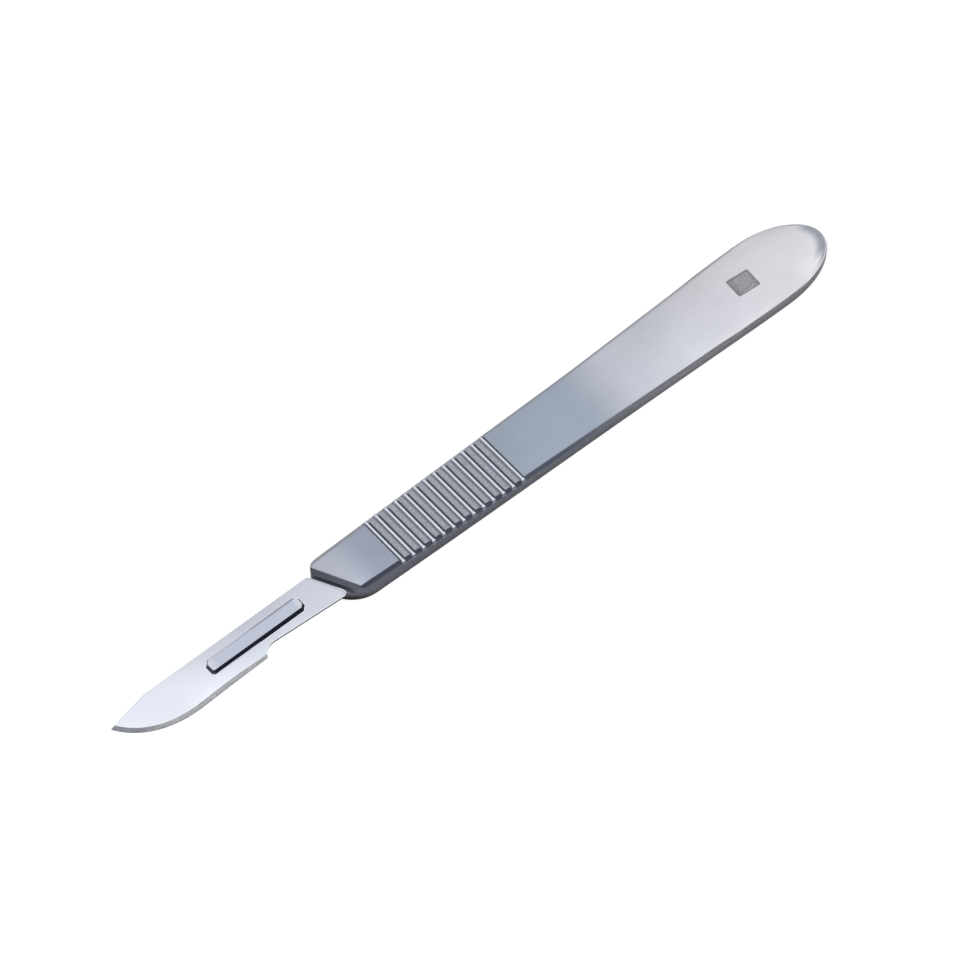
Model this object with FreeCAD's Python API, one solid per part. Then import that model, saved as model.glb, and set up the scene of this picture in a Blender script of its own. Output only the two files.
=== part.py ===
import FreeCAD, Part
import math
import os

# Scalpel handle with a fitted, removable curved blade, lying on its back face.
# Units are millimetres. While modelling, X = 0 is the shoulder datum on the centre line,
# +X runs to the tail, +Y to the spine side of the blade, and Z = 0 is the back face.

# Handle body
body_length = 98.7            # shoulder datum to the end of the tail
front_thickness = 3.62        # back face to front face at the shoulder
tail_thickness = 2.38         # the front face falls evenly to this, then runs level to the tail
taper_end_station = 52.0
taper_blend_length = 10.0     # the fall eases into the level part over this length
shoulder_width = 9.02
grip_width = 10.13            # at the middle of the ribs
middle_width = 11.0
flare_width = 12.18
tail_width = 12.58            # widest place, where the rounded tail begins
grip_station = 25.0           # where each of those widths lies, from the datum
middle_station = 50.0
flare_station = 75.0
tail_round_length = 12.2      # long half of the tail's half ellipse
tail_edge_radius = 1.3        # rounds the front face's edge at the very end, less to the sides
tail_edge_sections = 17       # profiles that the rounded edge passes through
side_bevel = 0.84             # bevel along the front face's edges, at the shoulder
middle_bevel = 0.43           # it narrows to this at the middle station
tail_bevel = 0.11             # and to this from the flare to the tail
shoulder_bevel = 0.66         # bevel along the shoulder's top edge
back_edge_radius = 0.3

# Shoulder and blade seat
shoulder_slant = 28.0         # degrees that the shoulder leans from square, in plan
seat_ledge = 0.87             # the seat runs this far ahead of the upper wall
edge_side_corner_radius = 6.0
spine_side_corner_radius = 2.6

# Ribs
rib_count = 13
rib_pitch = 1.905
first_rib_station = 10.23
rib_base_width = 0.72
rib_crest_width = 0.4
rib_height = 0.3              # crest above the floor between the ribs
rib_crest_rise = 0.08         # rounded top of the crest above the rib's flanks
rib_floor_depth = 0.24        # floor below the smooth front face
rib_moat_width = 1.06         # narrow groove that runs along both sides of each rib
rib_moat_depth = 0.1
rib_end_inset = 0.2           # rib's end to the side wall
rib_end_radius = 0.42
pocket_drop = 0.05            # between the ribs the bevel starts at the floor and ends this much lower

# Recessed stamp panel near the tail
panel_station = 82.44
panel_offset = 0.26
panel_length = 4.0
panel_width = 3.3
panel_turn = -4.5             # degrees
panel_depth = 0.14
panel_corner_radius = 0.18

# Tang and lug
lug_offset = 0.18             # tang and lug lie this far to the spine side of the centre line
blade_seat_height = 2.22      # back face to the plane that carries the blade
tang_thickness = 1.4
tang_width = 3.3
tang_reach = 24.04            # datum to the front end of the tang
tang_nose_length = 1.0        # the front end is rounded over this length
tang_root_radius = 0.9
tang_edge_radius = 0.25
lug_front_reach = 22.74       # datum to the nose of the lug
lug_rear_reach = 5.34
lug_width = 2.56
lug_height = 1.05             # above the blade seat
lug_flank_height = 0.55       # sloped part of the flank, below the lug's top
lug_flank_inset = 0.28
lug_nose_clip = 0.8           # nose corner on the spine side
lug_nose_edge_clip = 0.4      # nose corner on the cutting edge's side
lug_rear_clip = 0.62
groove_depth = 0.24           # undercut that holds the slot's edges
groove_length = 8.8           # from the lug's nose backwards

# Blade
blade_thickness = 0.4
blade_reach = 39.54           # datum to the tip
blade_tip_offset = 1.58       # tip above the centre line
spine_offset = 2.98
spine_drop_reach = 32.6       # where the spine starts to fall to the tip
edge_heel_reach = 14.94       # where the cutting edge starts, at the notch
edge_heel_offset = 3.77
belly_reach = 26.34           # where the straight edge turns into the belly
belly_offset = 4.12
belly_shares = ((0.42, 0.077), (0.69, 0.316), (0.865, 0.617))  # of the belly's run and rise
notch_reach = 12.54           # where the notch runs into the neck
neck_offset = 2.32
neck_heel_offset = 3.16       # the neck widens to this at the heel
notch_sag = 0.42
heel_corner_radius = 0.65
heel_spine_corner_radius = 0.75
grind_width = 0.74            # ground band along the cutting edge
edge_land = 0.03              # thickness left at the cutting edge
grind_shares = (0.0, 0.25, 0.5, 0.7, 0.85, 1.0)  # where the grind is set square to the belly

# Clearances between the blade and the handle
heel_gap = 0.45               # blade's heel to the shoulder's upper wall
slot_side_gap = 0.03          # slot to the lug's neck, in the groove
slot_rear_gap = 0.1           # slot to the lug behind the groove
lip_gap = 0.03                # blade's top to the underside of the lug's lip

# Spare length of a cutter past the face that it cuts
overrun = 2.0

slant_rise = math.tan(math.radians(shoulder_slant))
origin_station = (body_length - blade_reach) / 2.0
blade_middle = blade_seat_height + blade_thickness / 2.0
lug_top = blade_seat_height + lug_height
tail_station = body_length - tail_round_length
face_fall = (front_thickness - tail_thickness) / taper_end_station
blend_start = taper_end_station - taper_blend_length / 2.0
blend_end = taper_end_station + taper_blend_length / 2.0


def point(x, y, z=0.0):
    return FreeCAD.Vector(x, y, z)


def line(start, end):
    return Part.LineSegment(start, end).toShape()


def arc(start, middle, end):
    return Part.Arc(start, middle, end).toShape()


def spline(points, first_tangent=None, last_tangent=None):
    curve = Part.BSplineCurve()
    if first_tangent is None and last_tangent is None:
        curve.interpolate(points)
    else:
        curve.interpolate(points, InitialTangent=first_tangent, FinalTangent=last_tangent)
    return curve


def polygon_wire(points):
    return Part.makePolygon(points + [points[0]])


def prism(wire, height):
    return Part.Face(wire).extrude(point(0, 0, height))


def face_height(x):
    """Height of the smooth front face at a station."""
    if x <= blend_start:
        return front_thickness - face_fall * x
    if x >= blend_end:
        return tail_thickness
    return tail_thickness + face_fall * (blend_end - x) ** 2 / (2.0 * taper_blend_length)


def bevel_at(x):
    """Width of the side bevel at a station."""
    if x >= flare_station:
        return tail_bevel
    if x >= middle_station:
        share = (x - middle_station) / (flare_station - middle_station)
        return middle_bevel + (tail_bevel - middle_bevel) * share
    return side_bevel + (middle_bevel - side_bevel) * x / middle_station


def side_curve():
    """Plan curve of the body's side, from ahead of the shoulder to the rounded tail."""
    slope = (grip_width - shoulder_width) / 2.0 / grip_station
    nose = edge_side_corner_radius + shoulder_width
    points = [
        point(-nose, shoulder_width / 2.0 - slope * nose),
        point(0, shoulder_width / 2.0),
        point(grip_station, grip_width / 2.0),
        point(middle_station, middle_width / 2.0),
        point(flare_station, flare_width / 2.0),
        point(tail_station, tail_width / 2.0),
    ]
    return spline(points, point(1, slope), point(1, 0))


side = side_curve()
side_shape = side.toShape()


def half_width(x):
    """Half of the body's width at a station, from the side curve."""
    ray = line(point(x, 0), point(x, tail_width + shoulder_width))
    return side_shape.distToShape(ray)[1][0][0].y


def mirrored(shape):
    return shape.mirror(point(0, 0), point(0, 1, 0))


def body_blank():
    """Body outline raised to full thickness, with the slanted front and rounded corners."""
    ellipse = Part.Ellipse(point(tail_station, 0), tail_round_length, tail_width / 2.0)
    tail = Part.ArcOfEllipse(ellipse, -math.pi / 2.0, math.pi / 2.0).toShape()
    far = side_shape
    near = mirrored(side_shape)
    front = line(near.Vertexes[0].Point, far.Vertexes[0].Point)
    outline = Part.Wire(Part.__sortEdges__([front, far, tail, near]))
    blank = prism(outline, front_thickness + overrun)
    blank = blank.cut(ahead_of_shoulder(seat_ledge, -overrun))
    corners = upright_front_edges(blank)
    blank = blank.makeFillet(edge_side_corner_radius, [corners[0]])
    corners = upright_front_edges(blank)
    blank = blank.makeFillet(spine_side_corner_radius, [corners[-1]])
    back = [edge for edge in blank.Edges if edge.BoundBox.ZMax < 0.001]
    return blank.makeFillet(back_edge_radius, back)


def ahead_of_shoulder(setback, bottom):
    """Cutter for everything ahead of a slanted upright plane, above a height."""
    reach = blade_reach + shoulder_width
    spread = tail_width
    top = front_thickness + 2 * overrun
    plan = [
        point(-setback + spread * slant_rise, -spread, bottom),
        point(-setback - spread * slant_rise, spread, bottom),
        point(-reach, spread, bottom),
        point(-reach, -spread, bottom),
    ]
    return prism(polygon_wire(plan), top - bottom)


def upright_front_edges(solid):
    """Upright edges at the shoulder, from the cutting-edge side to the spine side."""
    upright = []
    for edge in solid.Edges:
        box = edge.BoundBox
        if box.ZLength > front_thickness and box.XLength < 0.001 and box.XMax < grip_station:
            upright.append(edge)
    return sorted(upright, key=lambda edge: edge.BoundBox.YMin)


def side_profile():
    """Side view of the body: flat back, front face that falls and then runs level."""
    front_x = -shoulder_width
    falling_start = point(front_x, 0, face_height(front_x))
    falling_end = point(blend_start, 0, face_height(blend_start))
    level_start = point(blend_end, 0, tail_thickness)
    level_end = point(body_length, 0, tail_thickness)
    middle = point(taper_end_station, 0, face_height(taper_end_station))
    profile = Part.Wire([
        line(point(front_x, 0, 0), falling_start),
        line(falling_start, falling_end),
        arc(falling_end, middle, level_start),
        line(level_start, level_end),
        line(level_end, point(body_length, 0, 0)),
        line(point(body_length, 0, 0), point(front_x, 0, 0)),
    ])
    return across_body(profile, tail_width)


def edge_section(x, inner, outer):
    """Triangle above the slope between two (y, z) places, in a plane across the body."""
    fall = (inner[1] - outer[1]) / (outer[0] - inner[0])
    top = inner[1] + fall * overrun
    return polygon_wire([
        point(x, inner[0] - overrun, top),
        point(x, outer[0] + overrun, outer[1] - fall * overrun),
        point(x, outer[0] + overrun, top),
    ])


def bevel_section(x):
    half = half_width(x)
    bevel = bevel_at(x)
    height = face_height(x)
    return edge_section(x, (half - bevel, height), (half, height - bevel))


def pocket_section(x):
    """Slope at the ends of the gaps between the ribs, in line with the bevel."""
    half = half_width(x)
    bevel = bevel_at(x)
    low = face_height(x) - bevel - pocket_drop
    return edge_section(x, (half - bevel, rib_floor(x)), (half, low))


def side_bevel_cutter():
    stations = [
        -shoulder_width / 2.0,
        0,
        grip_station / 2.0,
        grip_station,
        (grip_station + blend_start) / 2.0,
        blend_start,
        taper_end_station,
        blend_end,
        (blend_end + flare_station) / 2.0,
        flare_station,
        tail_station,
    ]
    return Part.makeLoft([bevel_section(x) for x in stations], True, False)


def tail_edge_section(angle):
    """Profile above the tail's rounded edge, square to the outline."""
    place = point(tail_station + tail_round_length * math.cos(angle), tail_width / 2.0 * math.sin(angle))
    outward = point(math.cos(angle) / tail_round_length, 2.0 * math.sin(angle) / tail_width)
    outward.normalize()
    up = point(0, 0, 1)
    radius = tail_bevel + (tail_edge_radius - tail_bevel) * math.cos(angle) ** 2
    centre = place + up * (face_height(place.x) - radius) - outward * radius
    inner = centre + up * radius
    outer = centre + outward * radius
    beyond = outer + outward * overrun
    above = beyond + up * (radius + overrun)
    return Part.Wire([
        arc(inner, centre + (outward + up) * (radius * math.sqrt(0.5)), outer),
        line(outer, beyond),
        line(beyond, above),
        line(above, inner + up * overrun),
        line(inner + up * overrun, inner),
    ])


def tail_edge_cutter():
    step = math.pi / (tail_edge_sections - 1)
    angles = [-math.pi / 2.0 + step * number for number in range(tail_edge_sections)]
    return Part.makeLoft([tail_edge_section(angle) for angle in angles], True, False)


def front_bevel_cutter():
    """Cutter for the bevel along the shoulder's top edge."""
    across = shoulder_width
    section = polygon_wire([
        point(shoulder_bevel + overrun, -across, front_thickness + overrun),
        point(-overrun, -across, front_thickness - shoulder_bevel - overrun),
        point(-overrun, -across, front_thickness + overrun),
    ])
    cutter = Part.Face(section).extrude(point(0, 2 * across, 0))
    cutter.rotate(point(0, 0), point(0, 0, 1), shoulder_slant)
    return cutter


def across_body(profile, half):
    """Profile in a lengthwise plane, drawn across the body from side to side."""
    face = Part.Face(profile)
    face.translate(point(0, -half, 0))
    return face.extrude(point(0, 2 * half, 0))


def rib_station(number):
    return first_rib_station + rib_pitch * number


def rib_floor(x):
    return face_height(x) - rib_floor_depth


def rib_floor_cutter():
    """Shallow cut that leaves the floor between the first rib and the last."""
    start = rib_station(0) - rib_base_width / 2.0
    end = rib_station(rib_count - 1) + rib_base_width / 2.0
    profile = polygon_wire([
        point(start, 0, rib_floor(start)),
        point(end, 0, rib_floor(end)),
        point(end, 0, front_thickness + overrun),
        point(start, 0, front_thickness + overrun),
    ])
    return across_body(profile, tail_width)


def rib_pocket_cutter():
    """Cutter for one side's slopes between the first rib and the last."""
    stations = [rib_station(number) for number in range(rib_count)]
    return Part.makeLoft([pocket_section(x) for x in stations], True, False)


def rib_moat_cutter(number):
    """Groove under one rib, a little wider than the rib itself."""
    x = rib_station(number)
    wide = rib_moat_width / 2.0
    root = rib_base_width / 2.0
    low = rib_floor(x) - rib_moat_depth
    profile = polygon_wire([
        point(x - wide, 0, rib_floor(x - wide)),
        point(x - root, 0, low),
        point(x + root, 0, low),
        point(x + wide, 0, rib_floor(x + wide)),
    ])
    return across_body(profile, tail_width)


def rib(number):
    """One raised rib with a rounded crest and rounded ends, across the whole front face."""
    x = rib_station(number)
    half = half_width(x) - rib_end_inset
    crest_top = rib_floor(x) + rib_height
    turn_height = crest_top - rib_crest_rise
    low = rib_floor(x) - rib_moat_depth
    root = low - side_bevel
    base = rib_base_width / 2.0
    crest = rib_crest_width / 2.0
    section = Part.Wire([
        line(point(x - base, 0, root), point(x - base, 0, low)),
        line(point(x - base, 0, low), point(x - crest, 0, turn_height)),
        arc(point(x - crest, 0, turn_height), point(x, 0, crest_top), point(x + crest, 0, turn_height)),
        line(point(x + crest, 0, turn_height), point(x + base, 0, low)),
        line(point(x + base, 0, low), point(x + base, 0, root)),
        line(point(x + base, 0, root), point(x - base, 0, root)),
    ])
    bar = across_body(section, half)
    return bar.common(rounded_end_limit(x, half, root, crest_top))


def rounded_end_limit(x, half, bottom, top):
    """Block across the body whose upper corners are rounded, as the rib's ends are."""
    block = Part.makeBox(rib_pitch, 2 * half, top - bottom)
    block.translate(point(x - rib_pitch / 2.0, -half, bottom))
    upper = [
        edge
        for edge in block.Edges
        if edge.BoundBox.ZMin > top - 0.001 and edge.BoundBox.YLength < 0.001
    ]
    return block.makeFillet(rib_end_radius, upper)


def panel_cutter():
    """Rectangular recess with rounded corners, in the level part of the front face."""
    box = Part.makeBox(panel_length, panel_width, panel_depth + overrun)
    box.translate(point(-panel_length / 2.0, -panel_width / 2.0, -panel_depth))
    upright = [edge for edge in box.Edges if edge.BoundBox.ZLength > overrun]
    box = box.makeFillet(panel_corner_radius, upright)
    box.rotate(point(0, 0), point(0, 0, 1), panel_turn)
    box.translate(point(panel_station, panel_offset, face_height(panel_station)))
    return box


def tang():
    """Flat bar that carries the blade, with a rounded front end."""
    half = tang_width / 2.0
    bottom = blade_seat_height - tang_thickness
    root = half * slant_rise
    nose = tang_nose_length
    edges = [
        line(point(root, -half, bottom), point(-tang_reach + nose, -half, bottom)),
        arc(
            point(-tang_reach + nose, -half, bottom),
            point(-tang_reach, 0, bottom),
            point(-tang_reach + nose, half, bottom),
        ),
        line(point(-tang_reach + nose, half, bottom), point(root, half, bottom)),
        line(point(root, half, bottom), point(root, -half, bottom)),
    ]
    bar = prism(Part.Wire(edges), tang_thickness)
    lower = [
        edge
        for edge in bar.Edges
        if edge.BoundBox.ZMax < bottom + 0.001 and edge.BoundBox.XMin < -lug_rear_reach
    ]
    return bar.makeFillet(tang_edge_radius, lower)


def lug_outline(inset, z):
    """Long lug outline with clipped corners, drawn in from the full size."""
    half = lug_width / 2.0 - inset
    nose = -lug_front_reach + inset
    rear = -lug_rear_reach - inset
    clip_inset = inset * (2 - math.sqrt(2))
    nose_clip = lug_nose_clip - clip_inset
    nose_edge_clip = lug_nose_edge_clip - clip_inset
    rear_clip = lug_rear_clip - clip_inset
    return polygon_wire([
        point(nose, half - nose_clip, z),
        point(nose + nose_clip, half, z),
        point(rear - rear_clip, half, z),
        point(rear, half - rear_clip, z),
        point(rear, -half + rear_clip, z),
        point(rear - rear_clip, -half, z),
        point(nose + nose_edge_clip, -half, z),
        point(nose, -half + nose_edge_clip, z),
    ])


def lug():
    """Lug with sloped flanks; the front part is undercut by a groove for the slot's edges."""
    flank_foot = lug_top - lug_flank_height
    base = prism(lug_outline(0, blade_seat_height), flank_foot - blade_seat_height)
    crown = Part.makeLoft([lug_outline(0, flank_foot), lug_outline(lug_flank_inset, lug_top)], True, True)
    solid = base.fuse(crown).removeSplitter()
    return solid.cut(groove_cutter())


def groove_cutter():
    """Ring around the front of the lug that leaves only its narrow neck."""
    height = blade_thickness + lip_gap
    band = Part.makeBox(groove_length + overrun, lug_width + 2 * overrun, height)
    band.translate(point(-lug_front_reach - overrun, -lug_width / 2.0 - overrun, blade_seat_height))
    neck = prism(lug_outline(groove_depth, blade_seat_height), height)
    return band.cut(neck)


def handle():
    body = body_blank()
    body = body.common(side_profile())
    body = body.cut(ahead_of_shoulder(0, blade_seat_height))
    bevel = side_bevel_cutter()
    body = body.cut(bevel)
    body = body.cut(mirrored(bevel))
    body = body.cut(front_bevel_cutter())
    body = body.cut(tail_edge_cutter())
    body = body.cut(rib_floor_cutter())
    pocket = rib_pocket_cutter()
    body = body.cut(pocket)
    body = body.cut(mirrored(pocket))
    for number in range(rib_count):
        body = body.cut(rib_moat_cutter(number))
        body = body.fuse(rib(number))
    body = body.cut(panel_cutter())
    for shape in (tang(), root_blend(), lug()):
        body = body.fuse(to_lug_line(shape))
    return body.removeSplitter()


def to_lug_line(shape):
    """Shape that was drawn on the centre line, moved to the line of the tang and the lug."""
    shape.translate(point(-lug_offset * slant_rise, lug_offset))
    return shape


def root_blend():
    """Hollow blend below the tang, where it grows out of the body's slanted front."""
    bottom = blade_seat_height - tang_thickness
    radius = tang_root_radius
    sag = radius * (1 - math.sqrt(0.5))
    edges = [
        line(point(radius, 0, bottom), point(-radius, 0, bottom)),
        arc(point(-radius, 0, bottom), point(-sag, 0, bottom - sag), point(0, 0, bottom - radius)),
        line(point(0, 0, bottom - radius), point(radius, 0, bottom - radius)),
        line(point(radius, 0, bottom - radius), point(radius, 0, bottom)),
    ]
    face = Part.Face(Part.Wire(edges))
    face.translate(point(0, -tang_width, 0))
    blend = face.extrude(point(0, 2 * tang_width, 0))
    blend.rotate(point(0, 0), point(0, 0, 1), shoulder_slant)
    blend.translate(point(-seat_ledge, 0, 0))
    width = tang_width - 2 * tang_edge_radius
    limit = Part.makeBox(2 * shoulder_width, width, blade_seat_height)
    limit.translate(point(-shoulder_width, -width / 2.0, 0))
    return blend.common(limit)


def heel_station(y):
    """Station of the blade's heel line at a distance from the centre line."""
    gap = heel_gap / math.cos(math.radians(shoulder_slant))
    return -gap - y * slant_rise


def edge_curve():
    """Cutting edge in plan: nearly straight, then the belly, up to the tip."""
    straight_end = point(-belly_reach, -belly_offset)
    straight = line(point(-edge_heel_reach, -edge_heel_offset), straight_end)
    heading = straight_end - point(-edge_heel_reach, -edge_heel_offset)
    heading.normalize()
    tip = point(-blade_reach, blade_tip_offset)
    run = blade_reach - belly_reach
    rise = blade_tip_offset + belly_offset
    between = [
        point(-belly_reach - run * along, -belly_offset + rise * up)
        for along, up in belly_shares
    ]
    return straight, spline([straight_end] + between + [tip])


def blade_outline():
    straight, belly = edge_curve()
    tip = point(-blade_reach, blade_tip_offset)
    drop = point(-spine_drop_reach, spine_offset)
    heel_far = point(heel_station(spine_offset), spine_offset)
    heel_near = point(heel_station(-neck_heel_offset), -neck_heel_offset)
    neck = point(-notch_reach, -neck_offset)
    corner = point(-edge_heel_reach, -edge_heel_offset)
    chord = corner - neck
    across = point(-chord.y, chord.x)
    across.normalize()
    hollow = neck + chord * 0.5 - across * notch_sag
    return Part.Wire(Part.__sortEdges__([
        line(tip, drop),
        line(drop, heel_far),
        line(heel_far, heel_near),
        line(heel_near, neck),
        arc(neck, hollow, corner),
        straight,
        belly.toShape(),
    ]))


def grind_section(place, heading, up):
    """Triangle above the ground face, square to the cutting edge."""
    inward = point(heading.y, -heading.x)
    rise = (blade_thickness - edge_land) / 2.0
    low = point(place.x, place.y, blade_middle + up * edge_land / 2.0)
    run = inward * grind_width + point(0, 0, up * rise)
    outer = low - run
    inner = low + run + run
    peak = point(outer.x, outer.y, inner.z)
    return polygon_wire([outer, inner, peak])


def grind_cutter(up):
    straight, belly = edge_curve()
    start = straight.Vertexes[0].Point
    end = straight.Vertexes[1].Point
    heading = end - start
    heading.normalize()
    sections = [
        grind_section(start - heading * overrun, heading, up),
        grind_section((start + end) / 2.0, heading, up),
    ]
    first, last = belly.FirstParameter, belly.LastParameter
    for share in grind_shares:
        place = belly.value(first + (last - first) * share)
        tangent = belly.tangent(first + (last - first) * share)[0]
        sections.append(grind_section(place, tangent, up))
    beyond = place + tangent * overrun
    sections.append(grind_section(beyond, tangent, up))
    return Part.makeLoft(sections, True, False)


def slot_cutter():
    """Keyhole slot: narrow over the lug's groove, wide behind it."""
    height = blade_thickness + 2 * overrun
    bottom = blade_seat_height - overrun
    narrow = prism(lug_outline(groove_depth - slot_side_gap, bottom), height)
    wide = prism(lug_outline(-slot_rear_gap, bottom), height)
    ahead = Part.makeBox(blade_reach, 2 * tail_width, 3 * height)
    groove_end = -lug_front_reach + groove_length - slot_rear_gap
    ahead.translate(point(groove_end - blade_reach, -tail_width, bottom - height))
    return narrow.fuse(wide.cut(ahead))


def blade():
    plate = prism(blade_outline(), blade_thickness)
    plate.translate(point(0, 0, blade_seat_height))
    heel = [edge for edge in plate.Edges if is_heel_corner(edge)]
    heel.sort(key=lambda edge: edge.BoundBox.YMin)
    plate = plate.makeFillet(heel_corner_radius, [heel[0]])
    heel = [edge for edge in plate.Edges if is_heel_corner(edge) and edge.BoundBox.YMin > 0]
    plate = plate.makeFillet(heel_spine_corner_radius, heel)
    plate = plate.cut(grind_cutter(1))
    plate = plate.cut(grind_cutter(-1))
    return plate.cut(to_lug_line(slot_cutter()))


def is_heel_corner(edge):
    box = edge.BoundBox
    return box.ZLength > blade_thickness - 0.001 and box.XLength < 0.001 and box.XMin > -lug_rear_reach


def export(name, shape):
    shape = shape.copy()
    shape.translate(point(-origin_station, 0, 0))
    print(name, "valid", shape.isValid(), "solids", len(shape.Solids), "volume", round(shape.Volume, 3))
    shape.exportStep(os.path.join("parts", name + ".step"))


os.makedirs("parts", exist_ok=True)
export("handle", handle())
export("blade", blade())
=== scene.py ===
import math

import bpy
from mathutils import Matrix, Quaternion, Vector

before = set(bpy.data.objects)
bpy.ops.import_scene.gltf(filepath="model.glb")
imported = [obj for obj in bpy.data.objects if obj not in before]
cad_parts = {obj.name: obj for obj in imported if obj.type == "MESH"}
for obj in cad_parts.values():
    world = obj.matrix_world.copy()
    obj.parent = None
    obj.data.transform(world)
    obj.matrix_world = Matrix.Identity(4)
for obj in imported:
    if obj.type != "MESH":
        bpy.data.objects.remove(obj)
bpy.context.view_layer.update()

# Lengths are metres in the scene; the materials read object coordinates in millimetres
MM = 0.001

# Camera: the point it looks at, its distance, three angles in degrees and its lens
TARGET = Vector((-0.3, 0.5, 0.0)) * MM
DISTANCE = 598.8 * MM
ELEVATION = 57.552
AZIMUTH = -40.859
ROLL = -0.223
LENS = 150.0
NEAREST_SEEN = 0.01

# Name, azimuth, elevation, distance, size and radiance of each soft lamp
LAMPS = (
    ("key_lamp", -110.0, 50.0, 1.2, 0.6, 1.6),
    ("fill_lamp", 35.0, 35.0, 1.2, 0.7, 1.0),
)
WORLD_LIGHT = 0.5

# Floor: how bright it looks by itself, what its shadow takes away and what it throws back
FLOOR_SIZE = 6.0
FLOOR_GLOW = 0.84
FLOOR_SHADE = 0.5
FLOOR_BOUNCE = 0.8

# Inputs and output of the Mix node for each kind of data
MIX_SOCKETS = {"RGBA": (6, 7, 2), "FLOAT": (2, 3, 0)}

# What all steel shares: samples of a rounded edge, and the bumps and contrast of noise
EDGE_SAMPLES = 8
BUMP_STRENGTH = 0.6
NOISE_DETAIL = 3.0
NOISE_SPAN = (0.3, 0.7)


class Shader:
    """Builds one node material, with short calls for the nodes that it needs."""

    def __init__(self, name):
        self.material = bpy.data.materials.new(name)
        self.material.use_nodes = True
        self.nodes = self.material.node_tree.nodes
        self.links = self.material.node_tree.links
        self.nodes.clear()
        self.output = self.nodes.new("ShaderNodeOutputMaterial")

    def set(self, socket, value):
        if isinstance(value, bpy.types.NodeSocket):
            self.links.new(value, socket)
        else:
            socket.default_value = value

    def math(self, operation, first, second=0.0, clamp=False):
        node = self.nodes.new("ShaderNodeMath")
        node.operation = operation
        node.use_clamp = clamp
        self.set(node.inputs[0], first)
        self.set(node.inputs[1], second)
        return node.outputs[0]

    def minus(self, first, second, clamp=False):
        return self.math("SUBTRACT", first, second, clamp)

    def times(self, first, second):
        """Product; of two shares, it is 1 only where both are."""
        return self.math("MULTIPLY", first, second)

    def either(self, first, second):
        """Larger of two shares."""
        return self.math("MAXIMUM", first, second)

    def span(self, value, borders, results=(0.0, 1.0)):
        """Maps a value between two borders to one between two results, smoothly and clamped."""
        node = self.nodes.new("ShaderNodeMapRange")
        node.interpolation_type = "SMOOTHSTEP"
        self.set(node.inputs["Value"], value)
        node.inputs["From Min"].default_value = borders[0]
        node.inputs["From Max"].default_value = borders[1]
        node.inputs["To Min"].default_value = results[0]
        node.inputs["To Max"].default_value = results[1]
        return node.outputs[0]

    def rise(self, value, borders):
        """0 below the borders and 1 above them."""
        return self.span(value, borders)

    def fall(self, value, borders):
        """1 below the borders and 0 above them."""
        return self.span(value, borders, (1.0, 0.0))

    def band(self, value, borders, soft):
        """1 between the borders, fading to 0 over a soft width outside them."""
        low, high = borders
        return self.times(self.rise(value, (low - soft, low)), self.fall(value, (high, high + soft)))

    def blend(self, kind, share, first, second):
        first_input, second_input, output = MIX_SOCKETS[kind]
        node = self.nodes.new("ShaderNodeMix")
        node.data_type = kind
        self.set(node.inputs[0], share)
        self.set(node.inputs[first_input], first)
        self.set(node.inputs[second_input], second)
        return node.outputs[output]

    def mix(self, share, first, second):
        """First colour where the share is 0, second where it is 1."""
        return self.blend("RGBA", share, first, second)

    def mix_value(self, share, first, second):
        """First number where the share is 0, second where it is 1."""
        return self.blend("FLOAT", share, first, second)

    def scaled(self, vector, factor):
        node = self.nodes.new("ShaderNodeVectorMath")
        node.operation = "SCALE"
        self.set(node.inputs[0], vector)
        self.set(node.inputs["Scale"], factor)
        return node.outputs[0]

    def scaled_where(self, share, colour, factor):
        """Colour times a factor where the share is 1, and as it is where the share is 0."""
        return self.scaled(colour, self.mix_value(share, 1.0, factor))

    def mottled(self, colour, noise, factors):
        """Colour made darker and lighter by a noise, between two factors."""
        return self.scaled(colour, self.span(noise, NOISE_SPAN, factors))

    def ramp(self, value, ends, stops):
        """Colour along a value; stops are (value, colour) pairs between the ends."""
        low, high = ends
        share = self.nodes.new("ShaderNodeMapRange")
        self.set(share.inputs["Value"], value)
        share.inputs["From Min"].default_value = low
        share.inputs["From Max"].default_value = high
        node = self.nodes.new("ShaderNodeValToRGB")
        node.color_ramp.interpolation = "EASE"
        elements = node.color_ramp.elements
        while len(elements) < len(stops):
            elements.new(0.5)
        for element, (place, colour) in zip(elements, stops):
            element.position = (place - low) / (high - low)
            element.color = colour
        self.links.new(share.outputs[0], node.inputs[0])
        return node.outputs[0]

    def parts(self, vector):
        """The x, y and z of a vector."""
        node = self.nodes.new("ShaderNodeSeparateXYZ")
        self.links.new(vector, node.inputs[0])
        return node.outputs[0], node.outputs[1], node.outputs[2]


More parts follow.
